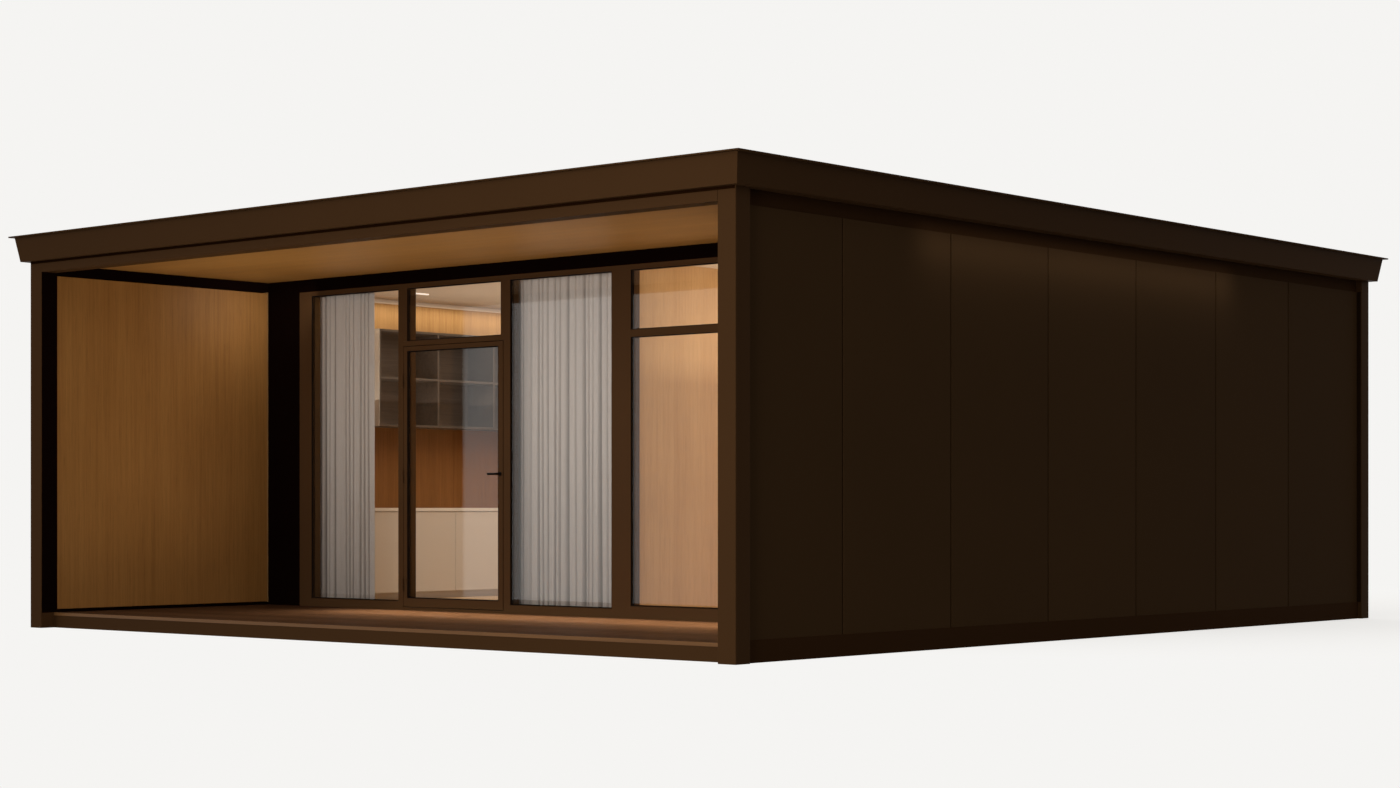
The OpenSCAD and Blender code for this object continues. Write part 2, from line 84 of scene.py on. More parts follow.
class Palette:
    """Node tree of one finish or of the sky, with short calls that add and join nodes."""

    MIX_A, MIX_B, MIX_OUT = 6, 7, 2

    def __init__(self, holder: bpy.types.Material | bpy.types.World) -> None:
        """Open the node tree.

        Args:
            holder: The new material, with its Principled shader, or the new world.
        """
        holder.use_nodes = True
        self.tree = holder.node_tree
        self.shader = self.tree.nodes.get("Principled BSDF")
        self.material = holder

    def add(self, kind: str, inputs: dict[str | int, object], **options: object) -> bpy.types.Node:
        """Add a node and fill its inputs.

        Args:
            kind: Node type, without its ShaderNode prefix.
            inputs: A plain value or a socket for each input.
            options: Settings of the node itself.

        Returns:
            The new node.
        """
        node = self.tree.nodes.new("ShaderNode" + kind)
        for key, value in options.items():
            setattr(node, key, value)
        for key, value in inputs.items():
            self.give(node.inputs[key], value)
        return node

    def give(self, target: Socket, value: object) -> None:
        """Link an output to an input, or set the input's plain value.

        Args:
            target: The input.
            value: An output of another node, or a plain value.
        """
        if isinstance(value, Socket):
            self.tree.links.new(value, target)
        else:
            target.default_value = value

    def shade(self, values: dict[str, object]) -> None:
        """Give the shader's sockets their values or links."""
        for key, value in values.items():
            self.give(self.shader.inputs[key], value)

    def coords(self, scale: Triple = (1.0, 1.0, 1.0), source: str = "Object") -> Socket:
        """Coordinates of the piece, stretched by a scale along each axis."""
        found = self.add("TexCoord", {}).outputs[source]
        return self.add("Mapping", {"Vector": found, "Scale": scale}).outputs["Vector"]

    def axes(self, vector: Socket) -> Sequence[Socket]:
        """The three parts of a vector."""
        return self.add("SeparateXYZ", {"Vector": vector}).outputs

    def noise(self, vector: Socket, scale: float, detail: float = 3.0) -> Socket:
        """Soft noise from 0 to 1."""
        return self.add("TexNoise", {"Vector": vector, "Scale": scale, "Detail": detail}).outputs[0]

    def maths(self, operation: str, first: object, second: object = 0.0) -> Socket:
        """A sum, product or other operation on two values."""
        return self.add("Math", {0: first, 1: second}, operation=operation).outputs[0]

    def weigh(self, patterns: Sequence[Socket], weights: Sequence[float]) -> Socket:
        """Add up patterns by weight.

        Args:
            patterns: The patterns.
            weights: Weight of each.

        Returns:
            Their sum.
        """
        parts = [self.maths("MULTIPLY", *both) for both in zip(patterns, weights)]
        total = parts[0]
        for part in parts[1:]:
            total = self.maths("ADD", total, part)
        return total

    def between(self, value: Socket, low: float, high: float, start: float = 0.0,
                stop: float = 1.0) -> Socket:
        """Carry a value from start and stop over to low and high."""
        inputs = {"Value": value, "From Min": start, "From Max": stop, "To Min": low, "To Max": high}
        return self.add("MapRange", inputs).outputs[0]

    def ramp(self, factor: Socket, places: Pair, colours: tuple[Colour, Colour]) -> Socket:
        """Run from one colour to another.

        Args:
            factor: Pattern that the colour follows.
            places: Values at which the first colour ends and the second one starts.
            colours: The two colours.

        Returns:
            The colour.
        """
        node = self.add("ValToRGB", {"Fac": factor})
        for mark, place, colour in zip(node.color_ramp.elements, places, colours):
            mark.position = place
            mark.color = (*colour, 1.0)
        return node.outputs[0]

    def mix(self, factor: object, first: object, second: object, how: str = "MIX") -> Socket:
        """Blend two colours."""
        inputs = {0: factor, self.MIX_A: first, self.MIX_B: second}
        return self.add("Mix", inputs, data_type="RGBA", blend_type=how).outputs[self.MIX_OUT]

    def bump(self, height: Socket, strength: float, depth: float) -> None:
        """Raise the surface by a height pattern."""
        node = self.add("Bump", {"Height": height, "Strength": strength, "Distance": depth})
        self.shade({"Normal": node.outputs[0]})


def tinted(colour: Colour, share: float = 1.0) -> tuple[float, float, float, float]:
    """A colour made lighter or darker by a share, with full alpha."""
    return (colour[0] * share, colour[1] * share, colour[2] * share, 1.0)


@dataclass(frozen=True)
class Finish:
    """Start of every finish: a material under its own name, which the kind of finish fills."""

    slot: str

    def make(self) -> bpy.types.Material:
        """Build the material.

        Returns:
            The finished material.
        """
        board = Palette(bpy.data.materials.new(self.slot))
        self.paint(board)
        return board.material

    def paint(self, board: Palette) -> None:
        """Fill the node tree of the material."""
        raise NotImplementedError


@dataclass(frozen=True)
class Coat(Finish):
    """An even coat, such as powder paint, lacquer, wall paint or rubber.

    It has soft clouds of tone, a change of gloss and a fine skin texture. Sheets of one pitch can
    each have a tone of their own, and faces out past a distance from the middle another colour.
    """

    colour: Colour
    roughness: float = 0.45
    gloss_change: float = 0.06
    shine: float = 0.12
    cloud: float = 0.08
    cloud_scale: float = 0.9
    skin_scale: float = 160.0
    skin_strength: float = 0.25
    skin_depth: float = 0.0006
    sheet_pitch: float = 0.0
    sheet_start: float = 0.0
    sheet_spread: float = 0.06
    outside: Colour | None = None
    outside_x: float = 0.0

    def paint(self, board: Palette) -> None:
        """Lay the coat.

        Args:
            board: Node tree of the material.
        """
        plain = board.coords()
        cloud = board.noise(plain, self.cloud_scale, detail=4.0)
        tones = (tinted(self.colour, 1 - self.cloud), tinted(self.colour, 1 + self.cloud))
        colour = board.mix(cloud, *tones)
        if self.sheet_pitch:
            colour = board.mix(1.0, colour, self.sheet_tone(board, plain), "MULTIPLY")
        if self.outside:
            across = board.maths("ABSOLUTE", board.axes(plain)[0])
            beyond = board.maths("GREATER_THAN", across, self.outside_x)
            colour = board.mix(beyond, colour, tinted(self.outside))
        gloss = (self.roughness - self.gloss_change, self.roughness + self.gloss_change)
        rough = board.between(cloud, *gloss)
        board.shade({"Base Color": colour, "Roughness": rough, "Specular IOR Level": self.shine})
        board.bump(board.noise(plain, self.skin_scale, detail=2.0), self.skin_strength, self.skin_depth)

    def sheet_tone(self, board: Palette, plain: Socket) -> Socket:
        """A grey tone for each sheet, along X and along Y.

        Args:
            board: Node tree of the material.
            plain: Coordinates in metres.

        Returns:
            The tone as a colour.
        """
        cells = []
        for axis, start in zip(board.axes(plain), (0.0, self.sheet_start)):
            along = board.maths("DIVIDE", board.maths("SUBTRACT", axis, start), self.sheet_pitch)
            cells.append(board.maths("FLOOR", along))
        cell = board.add("CombineXYZ", dict(enumerate(cells))).outputs[0]
        draw = board.add("TexWhiteNoise", {"Vector": cell}, noise_dimensions="2D").outputs[0]
        return board.between(draw, 1 - self.sheet_spread, 1 + self.sheet_spread)


@dataclass(frozen=True)
class Veneer(Finish):
    """Satin oak veneer: long streaks of grain, fine pores and slow changes of tone."""

    dark: Colour
    light: Colour
    grain: Grain = Grain.ALONG_Z
    slow: float = 1.4
    band: float = 7.0
    streak: float = 55.0
    pore: float = 330.0
    weights: Triple = (0.35, 0.45, 0.20)
    stops: Pair = (0.32, 0.66)
    pore_range: Pair = (0.30, 0.46)
    pore_tone: float = 0.78
    roughness: Pair = (0.42, 0.60)
    shine: float = 0.25
    relief: Pair = (0.2, 0.0008)

    def paint(self, board: Palette) -> None:
        """Lay the veneer.

        Args:
            board: Node tree of the material.
        """
        along = board.coords(self.grain.value)
        slow = board.noise(board.coords(), self.slow, detail=2.0)
        bands = board.noise(along, self.band, detail=4.0)
        fine = board.noise(along, self.streak, detail=5.0)
        pores = board.noise(along, self.pore, detail=2.0)
        tone = board.weigh((bands, fine, slow), self.weights)
        wood = board.ramp(tone, self.stops, (self.dark, self.light))
        pore = board.between(pores, self.pore_tone, 1.0, *self.pore_range)
        wood = board.mix(1.0, wood, pore, "MULTIPLY")
        rough = board.between(fine, *self.roughness)
        board.shade({"Base Color": wood, "Roughness": rough, "Specular IOR Level": self.shine})
        board.bump(board.maths("ADD", fine, pores), *self.relief)


@dataclass(frozen=True)
class Boards(Finish):
    """Solid boards side by side, each with its own tone and its own grain along X.

    A joint width above zero draws the joints too, for a floor that is one sheet.
    """

    dark: Colour
    light: Colour
    pitch: float
    start: float
    joint: float = 0.0
    joint_tone: float = 0.35
    shift: float = 9.0
    streak: float = 70.0
    band: float = 14.0
    weights: Triple = (0.40, 0.35, 0.25)
    stops: Pair = (0.3, 0.7)
    roughness: Pair = (0.42, 0.62)
    shine: float = 0.25
    relief: Pair = (0.15, 0.001)

    def paint(self, board: Palette) -> None:
        """Lay the boards.

        Args:
            board: Node tree of the material.
        """
        plain = board.coords()
        across = board.maths("SUBTRACT", board.axes(plain)[1], self.start)
        row = board.maths("DIVIDE", across, self.pitch)
        number = board.maths("FLOOR", row)
        draw = board.add("TexWhiteNoise", {"W": number}, noise_dimensions="1D").outputs[0]
        step = board.add("CombineXYZ", {0: board.maths("MULTIPLY", draw, self.shift)}).outputs[0]
        shifted = board.add("VectorMath", {0: plain, 1: step}, operation="ADD").outputs[0]
        along = board.add("Mapping", {"Vector": shifted, "Scale": Grain.ALONG_X.value}).outputs[0]
        fine = board.noise(along, self.streak, detail=5.0)
        bands = board.noise(along, self.band)
        tone = board.weigh((fine, bands, draw), self.weights)
        wood = board.ramp(tone, self.stops, (self.dark, self.light))
        if self.joint:
            edge = board.maths("PINGPONG", row, 0.5)
            line = board.between(edge, self.joint_tone, 1.0, 0.0, self.joint / self.pitch)
            wood = board.mix(1.0, wood, line, "MULTIPLY")
        rough = board.between(fine, *self.roughness)
        board.shade({"Base Color": wood, "Roughness": rough, "Specular IOR Level": self.shine})
        board.bump(fine, *self.relief)


@dataclass(frozen=True)
class Cloth(Finish):
    """Linen-look curtain cloth on its own flat map, in metres: slubs, a heading tape and a hem.

    The cloth is painted paler at the top than at the foot, as painted light from above, and darker deep
    in its folds, as painted shade.
    """

    colour: Colour
    height: float
    warp: Triple = (260.0, 3.0, 1.0)
    weft: Triple = (4.0, 320.0, 1.0)
    weights: Pair = (0.6, 0.4)
    stops: Pair = (0.3, 0.7)
    slub: float = 0.82
    tape: Pair = (0.075, 0.060)
    tape_tone: float = 0.97
    hem: Pair = (0.0576, 0.060)
    hem_tone: float = 0.86
    # Painted light: the cloth's tone at the foot and at the top, paler at the top for light from above.
    tones: Pair = (0.76, 1.25)
    # Painted shade in the folds: the depth range over which it grows, and its darkest tone.
    folds: Pair = (0.22, 0.80)
    painted_crease_tone: float = 0.35
    roughness: Pair = (0.75, 0.95)
    shine: float = 0.15
    sheen: Pair = (0.25, 0.40)
    relief: Pair = (0.35, 0.0006)

    def paint(self, board: Palette) -> None:
        """Weave the cloth.

        Args:
            board: Node tree of the material.
        """
        threads = [board.noise(board.coords(scale, "UV"), 1.0) for scale in (self.warp, self.weft)]
        weave = board.weigh(threads, self.weights)
        colour = board.ramp(weave, self.stops, (tinted(self.colour, self.slub)[:3], self.colour))
        rise = board.axes(board.coords(source="UV"))[1]
        # Painted light: paler towards the top of the cloth, darker towards its foot.
        painted_top_light = board.between(rise, *self.tones, 0.0, self.height)
        top = board.between(rise, 1.0, self.tape_tone, *(self.height - edge for edge in self.tape))
        foot = board.between(rise, self.hem_tone, 1.0, *self.hem)
        # Painted shade: the cloth is darker where it lies deep in its folds.
        depth = board.add("Attribute", {}, attribute_name=PAINTED_FOLD_SHADE).outputs["Fac"]
        painted_crease_shade = board.between(depth, 1.0, self.painted_crease_tone, *self.folds)
        # Painted light from above and painted fold shade, together with the tape and hem tones.
        ends = board.maths("MULTIPLY", painted_top_light, board.maths("MULTIPLY", top, foot))
        colour = board.mix(1.0, colour, board.maths("MULTIPLY", painted_crease_shade, ends), "MULTIPLY")
        rough = board.between(weave, *self.roughness)
        board.shade({"Base Color": colour, "Roughness": rough, "Specular IOR Level": self.shine})
        board.shade({"Sheen Weight": self.sheen[0], "Sheen Roughness": self.sheen[1]})
        board.bump(weave, *self.relief)


@dataclass(frozen=True)
class ClearGlass(Finish):
    """Clear float glass with the faint waviness of a sealed unit."""

    tint: Colour
    bend: float = 1.42
    film_scale: float = 2.5
    film_tone: float = 0.97
    wave_scale: float = 0.7
    wave_strength: float = 0.05
    wave_depth: float = 0.0004

    def paint(self, board: Palette) -> None:
        """Cast the glass.

        Args:
            board: Node tree of the material.
        """
        plain = board.coords()
        film = board.noise(plain, self.film_scale)
        colour = board.mix(film, tinted(self.tint, self.film_tone), tinted(self.tint))
        board.shade({"Base Color": colour, "Roughness": 0.0})
        board.shade({"IOR": self.bend, "Transmission Weight": 1.0})
        board.bump(board.noise(plain, self.wave_scale, detail=1.0), self.wave_strength, self.wave_depth)


@dataclass(frozen=True)
class Glow(Finish):
    """A diffuser with light behind it."""

    colour: Colour
    strength: float
    grit_scale: float = 90.0
    tones: Pair = (0.85, 0.95)
    roughness: Pair = (0.4, 0.6)

    def paint(self, board: Palette) -> None:
        """Light the diffuser.

        Args:
            board: Node tree of the material.
        """
        grit = board.noise(board.coords(), self.grit_scale, detail=2.0)
        colour = board.mix(grit, *(tinted(self.colour, tone) for tone in self.tones))
        board.shade({"Base Color": colour, "Roughness": board.between(grit, *self.roughness)})
        board.shade({"Emission Color": tinted(self.colour), "Emission Strength": self.strength})


class Bench:
    """Modelling moves made with Blender's own operators, on one piece at a time."""

    FACING = 0.9

    @staticmethod
    def clear() -> None:
        """Deselect everything."""
        bpy.ops.object.select_all(action="DESELECT")

    @classmethod
    def take(cls, *pieces: Piece) -> None:
        """Select pieces, with the first one active.

        Args:
            pieces: The pieces to work on.
        """
        cls.clear()
        for piece in pieces:
            piece.select_set(True)
        bpy.context.view_layer.objects.active = pieces[0]

    @staticmethod
    def named(name: str) -> Piece:
        """Name the active piece, and put its place into its mesh.

        Args:
            name: Name of the piece and of its mesh.

        Returns:
            The piece.
        """
        piece = bpy.context.object
        piece.name = name
        piece.data.name = name
        bpy.ops.object.transform_apply(location=True, rotation=True, scale=True)
        return piece

    @classmethod
    @contextmanager
    def editing(cls, piece: Piece) -> Iterator[None]:
        """Edit the faces of one piece, with none selected at the start.

        Args:
            piece: The piece to edit.

        Yields:
            Nothing. Edit mode ends with the block.
        """
        cls.take(piece)
        bpy.ops.object.mode_set(mode="EDIT")
        bpy.ops.mesh.select_mode(type="FACE")
        bpy.ops.mesh.select_all(action="DESELECT")
        yield
        bpy.ops.object.mode_set(mode="OBJECT")

    @staticmethod
    def pick_faces(piece: Piece, test: Callable[[Vector], bool]) -> None:
        """Select faces by their direction.

        Args:
            piece: The piece in edit mode.
            test: Whether a face with this normal is picked.
        """
        mesh = bmesh.from_edit_mesh(piece.data)
        for face in mesh.faces:
            face.select_set(test(face.normal))
        bmesh.update_edit_mesh(piece.data)

    @classmethod
    def block(cls, name: str, low: Triple, high: Triple, bevel: float = 0.0, steps: int = 1) -> Piece:
        """Add a block between two corners and bevel its edges.

        Args:
            name: Name of the piece.
            low: Lowest corner.
            high: Highest corner.
            bevel: Width of the bevel, or zero for sharp edges.
            steps: Steps of the bevel.

        Returns:
            The new piece.
        """
        cls.clear()
        low, high = Vector(low), Vector(high)
        bpy.ops.mesh.primitive_cube_add(size=1.0, location=(low + high) / 2, scale=high - low)
        piece = cls.named(name)
        if bevel:
            with cls.editing(piece):
                bpy.ops.mesh.select_all(action="SELECT")
                bpy.ops.mesh.bevel(offset=bevel, segments=steps, affect="EDGES")
        return piece

    @classmethod
    def gaskets(cls, low: Vector, high: Vector, width: float, depth: float) -> list[Piece]:
        """Rings on the two faces of a pane, the second one a copy of the first.

        Args:
            low: Lowest corner of the pane's daylight, on its outer face.
            high: Highest corner, on its inner face.
            width: Width of the four sides of a ring.
            depth: How far a ring stands out from the glass.

        Returns:
            The outer ring and the inner one.
        """
        outer = cls.block("gasket", (low.x, low.y - depth, low.z), (high.x, low.y, high.z))
        with cls.editing(outer):
            cls.pick_faces(outer, lambda normal: abs(normal.y) > cls.FACING)
            bpy.ops.mesh.inset(thickness=width)
            bpy.ops.mesh.bridge_edge_loops()
        return [outer, cls.copy(outer, (0.0, high.y - low.y + depth, 0.0))]

    @staticmethod
    def copy(piece: Piece, step: Sequence[float]) -> Piece:
        """Copy a piece, with a mesh of its own.

        Args:
            piece: The piece.
            step: Move from the piece to its copy.

        Returns:
            The copy.
        """
        twin = piece.copy()
        twin.data = piece.data.copy()
        twin.data.transform(Matrix.Translation(step))
        bpy.context.scene.collection.objects.link(twin)
        return twin

    @classmethod
    def row(cls, piece: Piece, step: Triple, count: int) -> list[Piece]:
        """A row of a number of pieces, a step apart, copied from the first."""
        return [piece, *(cls.copy(piece, Vector(step) * i) for i in range(1, count))]

    @classmethod
    def join(cls, name: str, pieces: Sequence[Piece]) -> Piece:
        """Join pieces into one.

        Args:
            name: Name of the joined piece.
            pieces: The pieces.

        Returns:
            The joined piece.
        """
        cls.take(*pieces)
        bpy.ops.object.join()
        return cls.named(name)


@dataclass
class SubAssembly:
    """A group of pieces that share finishes: it builds new pieces and dresses the CAD nodes."""

    finishes: dict[str, bpy.types.Material]

    def coat(self, slot: str, *names: str) -> None:
        """Give CAD nodes their finish.

        Args:
            slot: Name of the finish.
            names: The nodes.
        """
        for name in names:
            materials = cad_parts[name].data.materials
            materials.clear()
            materials.append(self.finishes[slot])
            LOG.info("%s is dressed in %s", name, slot)

    def glaze(self, name: str) -> None:
        """Give a CAD node of panes its glass, which casts no shadow."""
        self.coat("glass", name)
        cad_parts[name].visible_shadow = False

    def settle(self, piece: Piece, finish: str, slot: str, body: Body = Body.HOUSE) -> Piece:
        """Give a new piece its finish and its body.

        Args:
            piece: The piece, in place.
            finish: Name of its finish.
            slot: Material slot; not used.
            body: Body that carries it.

        Returns:
            The same piece.
        """
        piece.data.materials.clear()
        piece.data.materials.append(self.finishes[finish])
        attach(piece, body.value)
        faces = len(piece.data.polygons)
        LOG.info("%s: %d faces in %s on the %s", piece.name, faces, finish, body.value)
        return piece


@dataclass
class Shell(SubAssembly):
    """Steel frame, cornices, roof and cladding, with dark strips in the seams, strips of painted shade
    beside the rear posts and strips of painted shadow under the cornices.
    """

    sheet_pitch: float = 1.2
    first_seam: float = 1.115
    half_depth: float = 4.25
    seam: float = 0.008
    strip_depth: float = 0.004
    strip_bevel: float = 0.0005
    # Height and thickness of the strips of painted shadow and painted shade.
    shadow_line_h: float = 0.018
    shade_strip_t: float = 0.002
    post_roll: float = 0.006

    def build(self) -> None:
        """Add the dark strips in the seams of the side and rear walls, strips of painted shade between
        the side cladding and the rear posts, and strips of painted shadow under the cornices.
        """
        # The seam strips are dark joints; the strips beside the rear posts are painted shade.
        strips = self.side_seams() + self.rear_seams() + self.painted_rear_post_shade()
        self.strips = Bench.join("cladding_seam_and_shade_strips", strips)
        # Painted shadow: dark strips under the cornice.
        self.gaps = Bench.join("cornice_painted_shadow_strips", self.painted_cornice_shadow())

    def strip(self, low: Triple, high: Triple) -> Piece:
        """One strip between two corners."""
        return Bench.block("strip", low, high, self.strip_bevel)

    def side_seams(self) -> list[Piece]:
        """Fill the seams of the two side walls.

        Returns:
            The right-hand strips and the left-hand ones.
        """
        low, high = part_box("right_wall_cladding")
        y = self.first_seam - self.half_depth
        count = math.ceil((high.y - self.sheet_pitch / 3 - y) / self.sheet_pitch)
        corner = (low.x, y - self.seam / 2, low.z)
        first = self.strip(corner, (low.x + self.strip_depth, y + self.seam / 2, high.z))
        right = Bench.row(first, (0.0, self.sheet_pitch, 0.0), count)
        across = (-2 * low.x - self.strip_depth, 0.0, 0.0)
        return right + [Bench.copy(strip, across) for strip in right]

    def rear_seams(self) -> list[Piece]:
        """Fill the seams of the rear wall.

        Returns:
            The strips.
        """
        low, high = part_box("rear_wall_cladding")
        count = int(high.x / self.sheet_pitch)
        x = -count * self.sheet_pitch
        corner = (x - self.seam / 2, low.y, low.z)
        first = self.strip(corner, (x + self.seam / 2, low.y + self.strip_depth, high.z))
        return Bench.row(first, (self.sheet_pitch, 0.0, 0.0), 2 * count + 1)

    def post_edge(self) -> float:
        """Outer face of the right-hand posts, short of their rounded edge."""
        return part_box("corner_posts")[1].x - self.post_roll

    def painted_rear_post_shade(self) -> list[Piece]:
        """Painted shade: dark strips in the corners between the side cladding and the two rear posts.

        Returns:
            The right-hand strip and the left-hand one.
        """
        low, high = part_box("right_wall_cladding")
        edge = self.post_edge()
        right = self.strip((high.x, high.y - self.shade_strip_t, low.z), (edge, high.y, high.z))
        return Bench.row(right, (-edge - high.x, 0.0, 0.0), 2)

    def painted_cornice_shadow(self) -> list[Piece]:
        """Painted shadow: dark strips just under the cornice, over the front and rear top beams, where
        the cornice casts its shadow.

        Returns:
            The front strip and the rear one.
        """
        low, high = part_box("end_top_beams")
        edge = self.post_edge()
        foot = high.z - self.shadow_line_h
        front = self.strip((-edge, low.y - self.shade_strip_t, foot), (edge, low.y, high.z))
        rear = self.strip((low.x, high.y, foot), (high.x, high.y + self.shade_strip_t, high.z))
        return [front, rear]

    def dress(self) -> None:
        """Paint the frame, the cladding and the roof."""
        self.coat("bronze_frame", "corner_posts", "end_base_beams", "end_top_beams")
        self.coat("bronze_frame", "end_cornices", "side_cornices")
        # Painted shade: the side beams and rails take a darker copy of the bronze, for the shade under
        # the cornice and low on the wall.
        self.coat("shaded_side_beam", "side_top_beams", "side_base_rails")
        self.coat("dark_frame", "floor_slab")
        self.coat("cladding", "left_wall_cladding", "right_wall_cladding", "rear_wall_cladding")
        self.coat("roof_sheet", "roof_deck")
        # Dark seam joints, and painted shade beside the rear posts.
        self.settle(self.strips, "seam_and_shade_strip", "dark_frame")
        # Painted shadow under the cornice.
        self.settle(self.gaps, "painted_shadow_strip", "dark_frame")


@dataclass
class Porch(SubAssembly):
    """Deck boards on their bearers, the pale edge strip, the wood linings and the ceiling."""

    rows: int = 15
    gap: float = 0.005
    joint: float = 0.003
    bevel: float = 0.0025
    board_t: float = 0.024
    bearer_back: float = 0.116
    reveal_t: float = 0.002
    reveal_edge: float = 0.007
    reveal_bevel: float = 0.0005
    joints: tuple[tuple[float, ...], ...] = ((-1.2, 1.4), (-2.3, 0.3, 2.4), (0.9,))

    def build(self) -> None:
        """Lay the deck boards in rows along X, over one low bearer sheet."""
        low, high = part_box("porch_deck")
        pitch = (high.y - low.y + self.gap) / self.rows
        kinds = len(self.joints)
        foot = high.z - self.board_t
        boards = []
        for kind, joints in enumerate(self.joints):
            y = low.y + kind * pitch
            cuts = (low.x, *joints, high.x)
            for left, right in zip(cuts, cuts[1:]):
                start = left if left == low.x else left + self.joint / 2
                stop = right if right == high.x else right - self.joint / 2
                end = (stop, y + pitch - self.gap, high.z)
                board = Bench.block("board", (start, y, foot), end, self.bevel)
                count = len(range(kind, self.rows, kinds))
                boards += Bench.row(board, (0.0, kinds * pitch, 0.0), count)
        self.boards = Bench.join("porch_deck_boards", boards)
        corner = (low.x, low.y + self.bearer_back, low.z)
        self.bearer = Bench.block("porch_deck_bearers", corner, (high.x, high.y, foot), self.bevel)
        # Painted shade: black strips on the porch side of the front posts.
        self.front_post_shade_strips = self.painted_front_post_shade(low.x, high.z)

    def painted_front_post_shade(self, side_x: float, deck_z: float) -> Piece:
        """Thin black strips of painted shade on the porch side of the two front posts.

        Args:
            side_x: Inner face of the left post.
            deck_z: Height of the deck.

        Returns:
            The two strips as one piece.
        """
        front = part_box("corner_posts")[0].y + self.reveal_edge
        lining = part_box("left_porch_lining")[0].y
        end = (side_x + self.reveal_t, lining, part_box("porch_ceiling")[0].z)
        left = Bench.block("reveal", (side_x, front, deck_z), end, self.reveal_bevel)
        both = Bench.row(left, (-2 * side_x - self.reveal_t, 0.0, 0.0), 2)
        return Bench.join("porch_post_shade_strips", both)

    def dress(self) -> None:
        """Oil the boards and give the linings their veneer."""
        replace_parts(self.settle(self.boards, "deck_wood", "deck_wood"), "porch_deck")
        self.settle(self.bearer, "dark_frame", "dark_frame")
        # Painted shade on the porch side of the front posts.
        self.settle(self.front_post_shade_strips, "dark_frame", "dark_frame")
        self.coat("edge_wood", "deck_edge_trim")
        self.coat("lining_wood", "left_porch_lining", "right_porch_lining")
        self.coat("ceiling_wood", "porch_ceiling")


@dataclass
class Glazing(SubAssembly):
    """Glazing frame, its panes and the black gaskets on both faces of each pane."""

    first_bay: float = -2.94
    left_bay_w: float = 1.082
    right_bay_w: float = 1.065
    mullion_w: float = 0.103
    wide_mullion_w: float = 0.195
    head: float = 2.737
    sill: float = 0.19
    tall_sill: float = 0.215
    door_bar: float = 2.306
    side_bar: Pair = (2.232, 2.286)
    gasket_w: float = 0.006
    gasket_t: float = 0.006

    def openings(self) -> list[tuple[Vector, Vector]]:
        """Work out the daylight of every fixed pane.

        Returns:
            Lowest corner on the outer face and highest corner on the inner face of each.
        """
        low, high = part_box("window_glass")
        left, right = self.left_bay_w, self.right_bay_w
        door = self.first_bay + left + self.mullion_w
        middle = door + left + self.mullion_w
        beside = middle + left + self.wide_mullion_w
        last = beside + right + self.mullion_w
        under, over = self.side_bar
        rows = (
            (self.first_bay, left, self.sill, self.head),
            (door, left, self.door_bar, self.head),
            (middle, left, self.sill, self.head),
            (beside, right, self.tall_sill, under),
            (beside, right, over, self.head),
            (last, right, self.sill, self.head),
        )
        return [(Vector((x, low.y, z0)), Vector((x + w, high.y, z1))) for x, w, z0, z1 in rows]

    def build(self) -> None:
        """Press a gasket round each pane, outside and inside."""
        rings = []
        for low, high in self.openings():
            rings += Bench.gaskets(low, high, self.gasket_w, self.gasket_t)
        self.gaskets = Bench.join("pane_gaskets", rings)

    def dress(self) -> None:
        """Coat the frame and glaze it."""
        self.coat("dark_frame", "glazing_header", "glazing_piers")
        self.coat("glazing_frame", "glazing_head", "glazing_mullions", "glazing_sills")
        self.coat("glazing_frame", "transom_bars", "door_stops")
        self.glaze("window_glass")
        self.settle(self.gaskets, "rubber", "black_metal")


